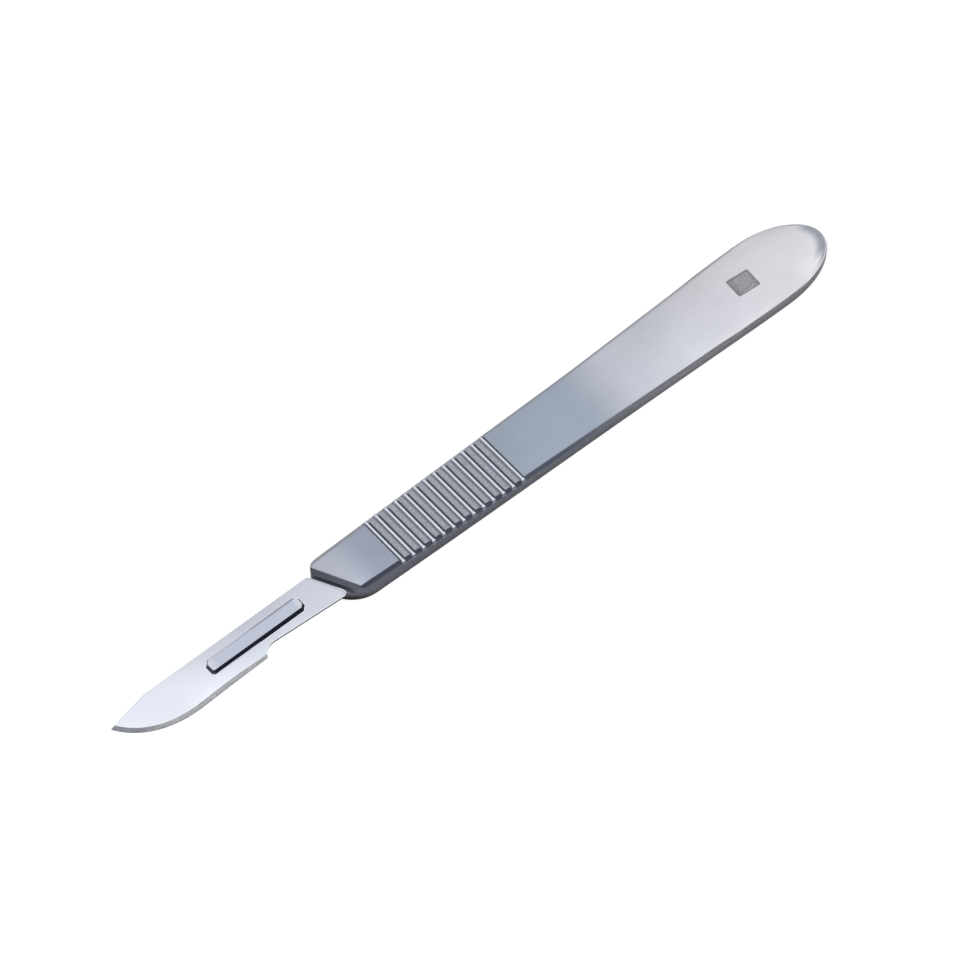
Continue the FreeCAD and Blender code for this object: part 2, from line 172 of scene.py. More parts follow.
class SteelShader(Shader):
    """Material of one steel piece, which knows where each point lies and how it faces.

    x, y and z are millimetres, nx, ny and nz the normal, and soft_x, soft_y and soft_z the
    normal with rounded edges.
    """

    def __init__(self, name, edge_radius, edge_turn, grain_scale):
        super().__init__(name)
        source = self.nodes.new("ShaderNodeTexCoord")
        self.vector = self.scaled(source.outputs["Object"], 1.0 / MM)
        self.x, self.y, self.z = self.parts(self.vector)
        surface = self.nodes.new("ShaderNodeNewGeometry")
        self.normal = surface.outputs["Normal"]
        self.nx, self.ny, self.nz = self.parts(self.normal)
        self.soft_x, self.soft_y, self.soft_z, self.edge = self.soft_normal(edge_radius, edge_turn)
        self.grain = self.noise(grain_scale, NOISE_DETAIL)

    def noise(self, scale, detail, stretch=None):
        vector = self.vector
        if stretch:
            mapping = self.nodes.new("ShaderNodeMapping")
            mapping.inputs["Scale"].default_value = stretch
            self.links.new(vector, mapping.inputs["Vector"])
            vector = mapping.outputs[0]
        node = self.nodes.new("ShaderNodeTexNoise")
        node.inputs["Scale"].default_value = scale
        node.inputs["Detail"].default_value = detail
        self.links.new(vector, node.inputs["Vector"])
        return node.outputs["Fac"]

    def soft_normal(self, radius, turn):
        """Normal with rounded edges (x, y, z), and a share that is 1 on an edge and 0 off it."""
        rounded = self.nodes.new("ShaderNodeBevel")
        rounded.samples = EDGE_SAMPLES
        rounded.inputs["Radius"].default_value = radius * MM
        product = self.nodes.new("ShaderNodeVectorMath")
        product.operation = "DOT_PRODUCT"
        self.links.new(rounded.outputs[0], product.inputs[0])
        self.links.new(self.normal, product.inputs[1])
        edge = self.fall(product.outputs["Value"], turn)
        return (*self.parts(rounded.outputs[0]), edge)

    def darker_across(self, colour, lean):
        """Colour that loses a share, the lean, for each millimetre of y: painted shade towards the
        far side.
        """
        return self.scaled(colour, self.minus(1.0, self.times(self.y, lean)))

    def finished(self, colour, roughness, bump_height, bump_distance):
        """The material, with its colour, roughness and fine bumps on one metal shader."""
        shader = self.nodes.new("ShaderNodeBsdfPrincipled")
        shader.inputs["Metallic"].default_value = 1.0
        self.set(shader.inputs["Base Color"], colour)
        self.set(shader.inputs["Roughness"], roughness)
        bump = self.nodes.new("ShaderNodeBump")
        bump.inputs["Strength"].default_value = BUMP_STRENGTH
        bump.inputs["Distance"].default_value = bump_distance * MM
        self.links.new(bump_height, bump.inputs["Height"])
        self.links.new(bump.outputs[0], shader.inputs["Normal"])
        self.links.new(shader.outputs[0], self.output.inputs["Surface"])
        return self.material


def grey(red, green, blue):
    """Colour from 0..255 screen values, as the scene's linear light."""
    linear = [((value / 255.0 + 0.055) / 1.055) ** 2.4 for value in (red, green, blue)]
    return (*linear, 1.0)


# Most of these colours are painted light and shade: painted reflection in the tones along the faces,
# crests, rims and the lug's ends. RIB_FLOOR, PANEL and BACK are the steel's own tones.
# painted shade on the walls, bevels, grooves, pockets and sides, and painted highlights on edges,
FACE_FRONT = grey(181, 185, 199)
FACE_GRIP = grey(152, 160, 176)
FACE_MIDDLE = grey(156, 166, 181)
FACE_BEND = grey(193, 195, 206)
FACE_FLARE = grey(209, 210, 217)
FACE_TAIL = grey(219, 219, 225)
FACE_FRONT_EDGE = grey(206, 209, 221)
FACE_FAR_EDGE = grey(134, 138, 144)
FACE_NEAR_EDGE = grey(229, 229, 234)
WALL_FRONT = grey(83, 84, 94)
WALL_GRIP = grey(91, 93, 101)
WALL_FLARE = grey(114, 113, 119)
WALL_TAIL = grey(109, 108, 113)
BEVEL_FRONT = grey(58, 61, 74)
BEVEL_FOOT = grey(92, 94, 103)
BEVEL_GRIP = grey(67, 72, 83)
BEVEL_TAIL = grey(93, 95, 103)
BEVEL_FAR = grey(108, 111, 122)
SHOULDER_BEVEL = grey(90, 92, 103)
SHOULDER_BEVEL_FAR = grey(76, 79, 88)
SHOULDER_LEDGE = grey(140, 141, 149)
SHOULDER_WALL_FOOT = grey(122, 124, 134)
SHOULDER_WALL = grey(98, 100, 110)
SHOULDER_WALL_END = grey(108, 108, 112)
TAIL_EDGE = grey(153, 156, 167)
TAIL_RIM = grey(196, 198, 205)
TAIL_FAR_RIM = grey(206, 206, 211)
RIB_CREST = grey(206, 209, 218)
RIB_SHOULDER = grey(150, 154, 165)
RIB_FRONT_FLANK = grey(152, 156, 166)
RIB_REAR_FLANK = grey(44, 48, 58)
RIB_FRONT_GROOVE = grey(192, 196, 206)
RIB_REAR_GROOVE = grey(50, 54, 64)
RIB_REAR_SHADE = grey(104, 109, 117)
RIB_FLOOR = grey(163, 168, 175)
RIB_END_TOP = grey(200, 203, 212)
RIB_END_FOOT = grey(98, 101, 111)
RIB_FAR_END = grey(150, 155, 162)
RIB_POCKET = grey(54, 57, 69)
RIB_POCKET_FOOT = grey(84, 87, 98)
RIB_POCKET_FAR = grey(140, 145, 152)
PANEL = grey(154, 155, 161)
PANEL_EDGE = grey(126, 127, 134)
PANEL_WALL = grey(208, 209, 214)
LUG_TOP = grey(192, 197, 213)
LUG_END = grey(209, 212, 223)
LUG_FAR_EDGE = grey(148, 152, 168)
LUG_SIDE = grey(28, 32, 44)
LUG_FAR_SIDE = grey(112, 116, 126)
LUG_NOSE = grey(66, 68, 78)
LUG_FAR_NOSE = grey(172, 176, 190)
BACK = grey(170, 176, 188)
BLADE_TIP = grey(234, 239, 249)
BLADE_BELLY = grey(228, 233, 244)
BLADE_NOTCH = grey(206, 211, 223)
BLADE_HEEL = grey(205, 210, 222)
BLADE_HEEL_LINE = grey(178, 183, 197)
BLADE_GRIND_TIP = grey(132, 136, 143)
BLADE_GRIND = grey(171, 172, 176)
BLADE_GRIND_BORDER = grey(142, 143, 149)
BLADE_SPINE_EDGE = grey(203, 208, 217)
BLADE_NEAR_EDGE = grey(243, 246, 251)
BLADE_SIDE = grey(56, 60, 68)
BLADE_HEEL_SIDE = grey(170, 174, 182)

# In each function below, s is the shader whose nodes it makes.
# A pair of numbers is the borders of a soft change, or the two results that it leads to.
# Names with X, Y or Z are places in millimetres, and with ABOVE, heights above the smooth face.
# Names with FACING are parts of the normal, and with TURN, cosines between two normals.

# Handle: its front face falls from the shoulder, then runs level to the rounded tail
FACE_MIDDLE_HEIGHT = 2.915
FACE_FALL = 0.02385
FACE_LEVEL = 2.38
HANDLE_ENDS = (-30.0, 70.0)
TAIL_START = 57.0
TAIL_LENGTH = 12.2
TAIL_HALF_WIDTH = 6.29
TAIL_X = (TAIL_START, TAIL_START + 5.0)
HANDLE_EDGE_RADIUS = 0.3
HANDLE_EDGE_TURN = (0.93, 0.998)
HANDLE_GRAIN_SCALE = 3.2
WALL_FACING = (0.3, 0.6)
UP_FACING = (0.9, 0.98)


class HandleShader(SteelShader):
    """Material of the handle, with each point's height above the smooth face."""

    def __init__(self, name):
        super().__init__(name, HANDLE_EDGE_RADIUS, HANDLE_EDGE_TURN, HANDLE_GRAIN_SCALE)
        falling = self.minus(FACE_MIDDLE_HEIGHT, self.times(self.x, FACE_FALL))
        self.above = self.minus(self.z, self.either(falling, FACE_LEVEL))


# Smooth face: tones along it, which are painted reflection
FACE_TONES = (
    (-28.5, FACE_FRONT),
    (-22.0, FACE_GRIP),
    (17.0, FACE_MIDDLE),
    (28.5, FACE_BEND),
    (44.0, FACE_FLARE),
    (64.0, FACE_TAIL),
)

# Smooth face: painted shade on the far side and painted light on the near side, as the share that it
# loses per millimetre of y, in front and after each change along it
FACE_FIRST_LEAN = 0.006
FACE_LEANS = (
    ((24.0, 36.0), 0.025),
    ((46.0, 58.0), 0.0),
    ((58.0, 64.0), 0.025),
)

# Smooth face: shade on the tail's far side, light on the flare's near side and in the front corner
FAR_SHADE_X = (50.0, 58.0)
FAR_SHADE_Y = (2.5, 5.5)
FAR_SHADE = 0.88
NEAR_LIGHT_X = (43.0, 47.0)
NEAR_LIGHT_SOFT = 14.0
NEAR_LIGHT_Y = (-6.0, -4.9)
NEAR_LIGHT_SHARES = (0.8, 0.0)
CORNER_X = (-27.0, -24.0)
CORNER_Y = (-3.6, -1.6)
CORNER_LIGHT = 1.14

# Smooth face: faint clouds, and fainter streaks along the handle
FACE_CLOUD_SCALE = 0.11
FACE_CLOUDS = (0.96, 1.04)
FACE_STREAK_SCALE = 1.4
FACE_STREAK_DETAIL = 4.0
FACE_STREAK_STRETCH = (0.08, 1.0, 1.0)
FACE_STREAKS = (0.99, 1.01)


def face_lean(s):
    """Share that the smooth face loses for each millimetre across it, as painted shade towards the
    far side.
    """
    lean = FACE_FIRST_LEAN
    for borders, next_lean in FACE_LEANS:
        lean = s.mix_value(s.rise(s.x, borders), lean, next_lean)
    return lean


def smooth_face(s):
    """Satin front face in painted reflection: its tone changes along the handle, and painted shade
    and light change it towards the two long edges.
    """
    tone = s.ramp(s.x, HANDLE_ENDS, FACE_TONES)
    tone = s.darker_across(tone, face_lean(s))
    far_side = s.times(s.rise(s.y, FAR_SHADE_Y), s.rise(s.x, FAR_SHADE_X))
    tone = s.scaled_where(far_side, tone, FAR_SHADE)
    near_share = s.span(s.y, NEAR_LIGHT_Y, NEAR_LIGHT_SHARES)
    near_light = s.times(near_share, s.band(s.x, NEAR_LIGHT_X, NEAR_LIGHT_SOFT))
    tone = s.mix(near_light, tone, FACE_NEAR_EDGE)
    corner = s.times(s.fall(s.y, CORNER_Y), s.fall(s.x, CORNER_X))
    tone = s.scaled_where(corner, tone, CORNER_LIGHT)
    clouds = s.noise(FACE_CLOUD_SCALE, NOISE_DETAIL)
    tone = s.mottled(tone, clouds, FACE_CLOUDS)
    streaks = s.noise(FACE_STREAK_SCALE, FACE_STREAK_DETAIL, FACE_STREAK_STRETCH)
    return s.mottled(tone, streaks, FACE_STREAKS)


# Edges of the smooth face: a painted highlight on the one at the shoulder, and broad painted shade
# on the far one
FRONT_EDGE_X = (-26.0, -24.0)
FRONT_EDGE_FACING = (-0.12, -0.04)
FAR_EDGE_RADIUS = 1.2
FAR_EDGE_TURN = (0.9, 0.9994)
FAR_EDGE_Y = (0.0, 1.0)
FAR_EDGE_GRIP_X = (0.0, 28.0)
FAR_EDGE_GRIP_SHARES = (0.35, 0.85)
FAR_EDGE_TAIL_X = (48.0, 60.0)
FAR_EDGE_TAIL_SHARES = (1.0, 0.35)

# Band of painted shade at the tail's end, as shares of the tail's length and half width
TAIL_BAND_ACROSS = (-0.42, 0.22)
TAIL_BAND_SOFT = 0.25
TAIL_BAND_ALONG = (0.4, 0.6)
TAIL_BAND_OUTWARD = (0.76, 0.905)


def tail_band(s):
    """Share of the painted shade, a darker tone, that fades inwards from the very end of the rounded
    tail.
    """
    along = s.math("DIVIDE", s.minus(s.x, TAIL_START), TAIL_LENGTH)
    across = s.math("DIVIDE", s.y, TAIL_HALF_WIDTH)
    squares = s.math("ADD", s.times(along, along), s.times(across, across))
    outward = s.math("SQRT", squares)
    end = s.times(s.band(across, TAIL_BAND_ACROSS, TAIL_BAND_SOFT), s.rise(along, TAIL_BAND_ALONG))
    return s.times(s.rise(outward, TAIL_BAND_OUTWARD), end)


def far_edge(s):
    """Share of the broad painted shade along the far edge, strongest along the flare."""
    edge = s.soft_normal(FAR_EDGE_RADIUS, FAR_EDGE_TURN)[3]
    edge = s.times(edge, s.rise(s.y, FAR_EDGE_Y))
    from_grip = s.span(s.x, FAR_EDGE_GRIP_X, FAR_EDGE_GRIP_SHARES)
    to_tail = s.span(s.x, FAR_EDGE_TAIL_X, FAR_EDGE_TAIL_SHARES)
    return s.times(edge, s.times(from_grip, to_tail))


def face_and_edges(s):
    """Smooth face with the painted highlight on its front edge, and painted shade in the band at its
    tail and along its far edge.
    """
    front_edge = s.times(s.edge, s.fall(s.soft_x, FRONT_EDGE_FACING))
    front_edge = s.times(front_edge, s.fall(s.x, FRONT_EDGE_X))
    face = s.mix(front_edge, smooth_face(s), FACE_FRONT_EDGE)
    face = s.mix(tail_band(s), face, TAIL_EDGE)
    return s.mix(far_edge(s), face, FACE_FAR_EDGE)


# Side walls: painted shade, with tones along them, darker at the foot, and a painted shadow darkest
# in front by the blade's seat
WALL_TONES = (
    (-27.0, WALL_FRONT),
    (18.0, WALL_GRIP),
    (36.0, WALL_FLARE),
    (60.0, WALL_TAIL),
)
WALL_Z = (0.2, 2.0)
WALL_SHADE = (0.7, 1.06)
WALL_GRAIN = (0.8, 1.25)
FRONT_WALL_X = (-30.0, -22.0)
FRONT_WALL_Z = (0.25, 1.4)
FRONT_WALL_SHADE = (0.08, 1.3)
SEAT_WALL_X = (-28.6, -25.2)
SEAT_WALL_Z = (0.5, 2.4)
SEAT_WALL_SHADE = (0.15, 1.0)

# Upper wall of the slanted shoulder, which faces the blade's heel, with painted light and shade on
# it
SHOULDER_WALL_Z = (1.9, 2.2)
SHOULDER_WALL_FACING = (-0.9, -0.75)
SHOULDER_FOOT_Z = (2.25, 2.55)
SHOULDER_END_Y = (-4.3, -3.7)


def side_walls(s):
    """Walls round the handle, darkened by painted shade, with the shoulder's painted light and shade
    at the front.
    """
    wall = s.ramp(s.x, HANDLE_ENDS, WALL_TONES)
    wall = s.scaled(wall, s.span(s.z, WALL_Z, WALL_SHADE))
    wall = s.mottled(wall, s.grain, WALL_GRAIN)
    front_shade = s.span(s.z, FRONT_WALL_Z, FRONT_WALL_SHADE)
    wall = s.scaled_where(s.fall(s.x, FRONT_WALL_X), wall, front_shade)
    seat_shade = s.span(s.z, SEAT_WALL_Z, SEAT_WALL_SHADE)
    wall = s.scaled_where(s.fall(s.x, SEAT_WALL_X), wall, seat_shade)
    shoulder = s.mix(s.rise(s.z, SHOULDER_FOOT_Z), SHOULDER_WALL_FOOT, SHOULDER_WALL)
    shoulder = s.mix(s.rise(s.y, SHOULDER_END_Y), SHOULDER_WALL_END, shoulder)
    on_shoulder = s.times(s.fall(s.soft_x, SHOULDER_WALL_FACING), s.rise(s.z, SHOULDER_WALL_Z))
    return s.mix(on_shoulder, wall, shoulder)


# Bevels along the sides, darkened by painted shade, with a lighter foot of painted light along the
# ribbed grip, and on the shoulder
BEVEL_TONES = (
    (-26.0, BEVEL_FRONT),
    (8.0, BEVEL_GRIP),
    (25.0, BEVEL_TAIL),
)
BEVEL_FOOT_X = (5.0, 12.0)
BEVEL_FOOT_ABOVE = (-0.8, -0.3)
FAR_BEVEL_FACING = (-0.1, 0.3)
SHOULDER_BEVEL_Y = (-3.0, 3.5)
SHOULDER_BEVEL_FACING = (-0.5, -0.3)


def bevels(s):
    """Bevels of the two long sides and of the slanted shoulder, with painted light and shade on
    them.
    """
    near = s.ramp(s.x, HANDLE_ENDS, BEVEL_TONES)
    foot = s.times(s.fall(s.above, BEVEL_FOOT_ABOVE), s.fall(s.x, BEVEL_FOOT_X))
    near = s.mix(foot, near, BEVEL_FOOT)
    bevel = s.mix(s.rise(s.soft_y, FAR_BEVEL_FACING), near, BEVEL_FAR)
    shoulder = s.mix(s.rise(s.y, SHOULDER_BEVEL_Y), SHOULDER_BEVEL, SHOULDER_BEVEL_FAR)
    return s.mix(s.fall(s.soft_x, SHOULDER_BEVEL_FACING), bevel, shoulder)


# Rim of the rounded tail: how it faces where its painted reflection changes
RIM_TOP_FACING = (0.55, 0.85)
FAR_RIM_FACING = (0.15, 0.45)
RIM_END_WEIGHT = 2.2
RIM_AWAY_FACING = (-0.15, 0.35)


def tail_rim(s):
    """Rim of the tail, in painted reflection: as bright as the face on the near side, darker past
    it.
    """
    rim = s.mix(s.rise(s.soft_z, RIM_TOP_FACING), TAIL_RIM, TAIL_EDGE)
    rim = s.mix(s.rise(s.soft_y, FAR_RIM_FACING), rim, TAIL_FAR_RIM)
    away = s.math("ADD", s.times(s.soft_x, RIM_END_WEIGHT), s.soft_y)
    return s.mix(s.rise(away, RIM_AWAY_FACING), FACE_TAIL, rim)


# How far up a normal points where a bevel or the tail's rim starts, over the side wall
BEVEL_FACING = (0.3, 0.62)
RIM_FACING = (0.25, 0.6)


def walls_and_bevels(s):
    """All that lies round the smooth face: side walls, the bevels over them and the tail's rim."""
    colour = s.mix(s.rise(s.soft_z, BEVEL_FACING), side_walls(s), bevels(s))
    on_rim = s.times(s.rise(s.x, TAIL_X), s.rise(s.soft_z, RIM_FACING))
    return s.mix(on_rim, colour, tail_rim(s))


# How far up a normal points where the smooth face starts, on the body and on the tail
FACE_STARTS = 0.9
FACE_STARTS_ON_TAIL = 0.96
FACE_IS_FULL = 0.999


def share_of_face(s):
    """1 on the smooth face, and 0 on the walls and bevels round it."""
    start = s.mix_value(s.rise(s.x, TAIL_X), FACE_STARTS, FACE_STARTS_ON_TAIL)
    return s.math("DIVIDE", s.minus(s.soft_z, start), s.minus(FACE_IS_FULL, start), clamp=True)


# Ribs: their places along the handle, and where crest, shoulder, groove and flanks begin
RIBS_X = (-19.7, 3.85)
RIBS_SOFT = 0.05
RIBS_ABOVE = (-0.8, -0.72)
FIRST_RIB = -19.35
RIB_PITCH = 1.905
RIB_HALF_WIDTH = 0.37
RIB_BORDER = (RIB_HALF_WIDTH, RIB_HALF_WIDTH + 0.03)
RIB_CREST_ABOVE = (0.0, 0.045)
RIB_SHOULDER_ABOVE = (-0.1, -0.02)
RIB_GROOVE_ABOVE = (-0.262, -0.243)
RIB_FLANK_FACING = (0.6, 0.8)
RIB_REAR_FACING = (-0.3, 0.3)

# Gaps between the ribs: a matte floor, with a shaded strip behind each rib
RIB_FLOOR_GRAIN = (0.85, 1.16)
RIB_FLOOR_ABOVE = (-0.262, -0.218)
RIB_FLOOR_SOFT = 0.012
RIB_SHADE_BESIDE = (0.3, 0.5)
RIB_SHADE_SOFT = 0.25

# Ends of the ribs, and the pockets between them, with painted highlights and painted shade
RIB_SIDE_FACING = (0.3, 0.5)
RIB_END_ABOVE = (-0.45, -0.08)
RIB_POCKET_ABOVE = (-0.8, -0.55)
RIB_FAR_Y = (-1.0, 1.0)


def rib_middles(s, beside):
    """Painted highlights on the crests, fading on their shoulders, painted light and shade on the
    flanks and grooves beside them, and a matte floor between the ribs.
    """
    floor = s.mottled(RIB_FLOOR[:3], s.grain, RIB_FLOOR_GRAIN)
    floor = s.mix(s.band(beside, RIB_SHADE_BESIDE, RIB_SHADE_SOFT), floor, RIB_REAR_SHADE)
    rear = s.rise(s.nx, RIB_REAR_FACING)
    groove = s.mix(rear, RIB_REAR_GROOVE, RIB_FRONT_GROOVE)
    flank = s.mix(rear, RIB_FRONT_FLANK, RIB_REAR_FLANK)
    colour = s.mix(s.rise(s.above, RIB_GROOVE_ABOVE), groove, floor)
    colour = s.mix(s.fall(s.nz, RIB_FLANK_FACING), colour, flank)
    colour = s.mix(s.rise(s.above, RIB_SHOULDER_ABOVE), colour, RIB_SHOULDER)
    return s.mix(s.rise(s.above, RIB_CREST_ABOVE), colour, RIB_CREST)


def rib_sides(s, beside):
    """Rounded ends of the ribs, with a painted highlight at the top and painted shade at the foot,
    and the pockets between them in darker painted shade, lighter on the far side.
    """
    end = s.mix(s.rise(s.above, RIB_END_ABOVE), RIB_END_FOOT, RIB_END_TOP)
    end = s.mix(s.rise(s.y, RIB_FAR_Y), end, RIB_FAR_END)
    pocket = s.mix(s.rise(s.above, RIB_POCKET_ABOVE), RIB_POCKET_FOOT, RIB_POCKET)
    pocket = s.mix(s.rise(s.y, RIB_FAR_Y), pocket, RIB_POCKET_FAR)
    on_rib = s.fall(s.math("ABSOLUTE", beside), RIB_BORDER)
    return s.mix(on_rib, pocket, end)


def ribbing(s):
    """Ribs and gaps; beside is the distance past the middle of the nearest rib."""
    from_first = s.minus(s.x, FIRST_RIB - RIB_PITCH / 2.0)
    beside = s.minus(s.math("FLOORED_MODULO", from_first, RIB_PITCH), RIB_PITCH / 2.0)
    facing_side = s.rise(s.math("ABSOLUTE", s.ny), RIB_SIDE_FACING)
    return s.mix(facing_side, rib_middles(s, beside), rib_sides(s, beside))


def share_of_ribs(s):
    """1 from the first rib to the last, down to the foot of the pockets."""
    return s.times(s.band(s.x, RIBS_X, RIBS_SOFT), s.rise(s.above, RIBS_ABOVE))


# Recessed panel near the tail: its floor is shaded at the front, and its low walls catch light
PANEL_X = (49.5, 56.5)
PANEL_X_SOFT = 0.1
PANEL_ABOVE = (-0.2, -0.1)
PANEL_ABOVE_SOFT = 0.02
PANEL_SHADE_X = (50.6, 52.4)
PANEL_SHADE = (0.72, 1.04)
PANEL_GRAIN = (0.82, 1.2)
PANEL_WALL_Y = (3.5, 4.0)
PANEL_WALL_ABOVE = (-0.25, -0.2)


def share_of_panel(s):
    """1 on the floor of the panel."""
    at_depth = s.band(s.above, PANEL_ABOVE, PANEL_ABOVE_SOFT)
    return s.times(at_depth, s.band(s.x, PANEL_X, PANEL_X_SOFT))


def panel_floor(s):
    # Painted shade along the edges of the panel's floor, and towards its front
    floor = s.mix(s.edge, PANEL, PANEL_EDGE)
    floor = s.scaled(floor, s.span(s.x, PANEL_SHADE_X, PANEL_SHADE))
    return s.mottled(floor, s.grain, PANEL_GRAIN)


def share_of_panel_walls(s):
    """1 on the low walls round the panel's floor."""
    near_middle = s.fall(s.math("ABSOLUTE", s.y), PANEL_WALL_Y)
    recess = s.times(s.band(s.x, PANEL_X, PANEL_X_SOFT), near_middle)
    recess = s.times(recess, s.rise(s.above, PANEL_WALL_ABOVE))
    return s.times(recess, s.fall(s.nz, WALL_FACING))


# Tang and its lug: a painted highlight makes the top lighter at both ends, and painted shade a
# darker line on the far side
TANG_X = (-33.0, -32.0)
LUG_FAR_SIDE_FACING = (0.1, 0.4)
LUG_FAR_NOSE_FACING = (0.0, 0.3)
LUG_NOSE_FACING = (-0.7, -0.4)
LUG_FRONT_X = (-51.7, -50.7)
LUG_REAR_X = (-36.4, -35.6)
LUG_LINE_Y = (0.82, 1.12)
LUG_LINE_X = (-50.0, -38.0)
LUG_LINE_SHARES = (0.35, 0.9)


def lug_top(s):
    ends = s.either(s.fall(s.x, LUG_FRONT_X), s.rise(s.x, LUG_REAR_X))
    top = s.mix(ends, LUG_TOP, LUG_END)
    far_line = s.times(s.rise(s.y, LUG_LINE_Y), s.span(s.x, LUG_LINE_X, LUG_LINE_SHARES))
    return s.mix(far_line, top, LUG_FAR_EDGE)


def tang_and_lug(s):
    """Bright lug top, dark sides of painted shade and a nose that painted light makes lighter on the
    far side.
    """
    side = s.mix(s.rise(s.ny, LUG_FAR_SIDE_FACING), LUG_SIDE, LUG_FAR_SIDE)
    nose = s.mix(s.rise(s.ny, LUG_FAR_NOSE_FACING), LUG_NOSE, LUG_FAR_NOSE)
    side = s.mix(s.fall(s.nx, LUG_NOSE_FACING), side, nose)
    return s.mix(s.rise(s.nz, UP_FACING), side, lug_top(s))


# Ledge before the shoulder, with painted light on it, and the flat back
LEDGE_X = (-33.5, -33.0)
LEDGE_ABOVE = (-1.1, -0.9)
BACK_FACING = (-0.98, -0.9)

# Roughness of the smooth and of the matte surfaces, and the height of the matte ones' bumps
HANDLE_ROUGHNESS = (0.3, 0.55)
HANDLE_BUMP = 0.02


def share_of_ledge(s):
    """1 on the low ledge that the blade's heel lies on."""
    ledge = s.times(s.rise(s.x, LEDGE_X), s.fall(s.above, LEDGE_ABOVE))
    return s.times(ledge, s.rise(s.nz, UP_FACING))


def handle_steel():
    """Satin steel with painted light and shade: each mix lays one region over those before it."""
    s = HandleShader("handle_satin_steel")
    ribs, panel = share_of_ribs(s), share_of_panel(s)
    colour = s.mix(share_of_face(s), walls_and_bevels(s), face_and_edges(s))
    colour = s.mix(ribs, colour, ribbing(s))
    colour = s.mix(panel, colour, panel_floor(s))
    colour = s.mix(share_of_panel_walls(s), colour, PANEL_WALL)
    colour = s.mix(s.fall(s.x, TANG_X), colour, tang_and_lug(s))
    # Painted light on the ledge under the blade's heel
    colour = s.mix(share_of_ledge(s), colour, SHOULDER_LEDGE)
    colour = s.mix(s.fall(s.nz, BACK_FACING), colour, BACK)
    rib_floors = s.times(ribs, s.band(s.above, RIB_FLOOR_ABOVE, RIB_FLOOR_SOFT))
    matte = s.either(s.either(rib_floors, s.fall(s.nz, WALL_FACING)), panel)
    roughness = s.mix_value(matte, *HANDLE_ROUGHNESS)
    return s.finished(colour, roughness, s.times(s.grain, matte), HANDLE_BUMP)


# Blade: tones along its face, which are painted reflection, and the share that the face loses per
# millimetre of y, as painted shade on the far side
BLADE_ENDS = (-70.0, -28.0)
BLADE_TONES = (
    (-68.0, BLADE_TIP),
    (-57.0, BLADE_BELLY),
    (-43.0, BLADE_NOTCH),
    (-33.0, BLADE_HEEL),
)
BLADE_LEAN_X = (-52.0, -40.0)
BLADE_LEAN_SOFT = 8.0
BLADE_LEANS = (0.012, 0.05)
BLADE_CLOUD_SCALE = 0.13
BLADE_CLOUDS = (0.98, 1.02)
BLADE_GRAIN_SCALE = 3.0

# Blade's edges, which carry painted highlights and a painted reflection line: a fine one everywhere,
# and a broad one for the ground band's border and the heel
BLADE_EDGE_RADIUS = 0.22
BLADE_EDGE_TURN = (0.9925, 0.9997)
BROAD_EDGE_RADIUS = 0.55
BROAD_EDGE_TURN = (0.994, 0.99995)
SPINE_Y = (1.4, 2.2)
CUTTING_SIDE_Y = (-1.7, -1.2)
BELLY_X = (-55.0, -53.5)
BELLY_Y = (0.9, 1.4)
SLOT_X = (-54.0, -35.0)
SLOT_X_SOFT = 0.5
SLOT_Y = (-1.7, 1.5)
SLOT_Y_SOFT = 0.2
SLOT_SHARE = 0.6
GRIND_BORDER_X = (-45.5, -44.8)
HEEL_LINE_X = (-37.0, -35.0)
HEEL_LINE_FACING = (0.01, 0.03)


def bright_edges(s, broad_edge):
    """Share of the painted highlight on the edges on the cutting side, along the ground band and
    round the slot.
    """
    belly = s.times(s.fall(s.x, BELLY_X), s.fall(s.y, BELLY_Y))
    near = s.either(s.fall(s.y, CUTTING_SIDE_Y), belly)
    by_slot = s.times(s.band(s.x, SLOT_X, SLOT_X_SOFT), s.band(s.y, SLOT_Y, SLOT_Y_SOFT))
    near = s.either(near, s.times(by_slot, SLOT_SHARE))
    by_grind = s.times(broad_edge, s.fall(s.x, GRIND_BORDER_X))
    return s.times(s.either(s.edge, by_grind), near)


def blade_face(s):
    """Bright flat face in painted reflection, with a soft painted line along the spine, painted
    highlights on the near edges and a painted reflection line along the heel.
    """
    broad_x, _, _, broad_edge = s.soft_normal(BROAD_EDGE_RADIUS, BROAD_EDGE_TURN)
    face = s.ramp(s.x, BLADE_ENDS, BLADE_TONES)
    lean = s.mix_value(s.band(s.x, BLADE_LEAN_X, BLADE_LEAN_SOFT), *BLADE_LEANS)
    face = s.darker_across(face, lean)
    clouds = s.noise(BLADE_CLOUD_SCALE, NOISE_DETAIL)
    face = s.mottled(face, clouds, BLADE_CLOUDS)
    face = s.mix(s.times(s.edge, s.rise(s.y, SPINE_Y)), face, BLADE_SPINE_EDGE)
    face = s.mix(bright_edges(s, broad_edge), face, BLADE_NEAR_EDGE)
    heel_line = s.times(s.rise(broad_x, HEEL_LINE_FACING), s.rise(s.x, HEEL_LINE_X))
    heel_line = s.times(heel_line, s.minus(broad_edge, s.edge, clamp=True))
    return s.mix(heel_line, face, BLADE_HEEL_LINE)


# Ground band along the cutting edge
GRIND_TIP_X = (-68.0, -60.5)
GRIND_BORDER_SHARE = 0.6
GRIND_GRAIN = (0.85, 1.15)


def ground_band(s):
    grind = s.mix(s.rise(s.x, GRIND_TIP_X), BLADE_GRIND_TIP, BLADE_GRIND)
    grind = s.mix(s.times(s.edge, GRIND_BORDER_SHARE), grind, BLADE_GRIND_BORDER)
    return s.mottled(grind, s.grain, GRIND_GRAIN)


# How squarely a surface of the blade faces up or down, from its sides to the band and the face
HEEL_SIDE_FACING = (0.6, 0.8)
GRIND_FACING = (0.6, 0.9)
BLADE_FACE_FACING = (0.985, 0.995)
MATTE_FACING = (0.9, 0.985)
MATTE_SOFT = 0.01
BLADE_ROUGHNESS = (0.22, 0.5)
BLADE_BUMP = 0.01


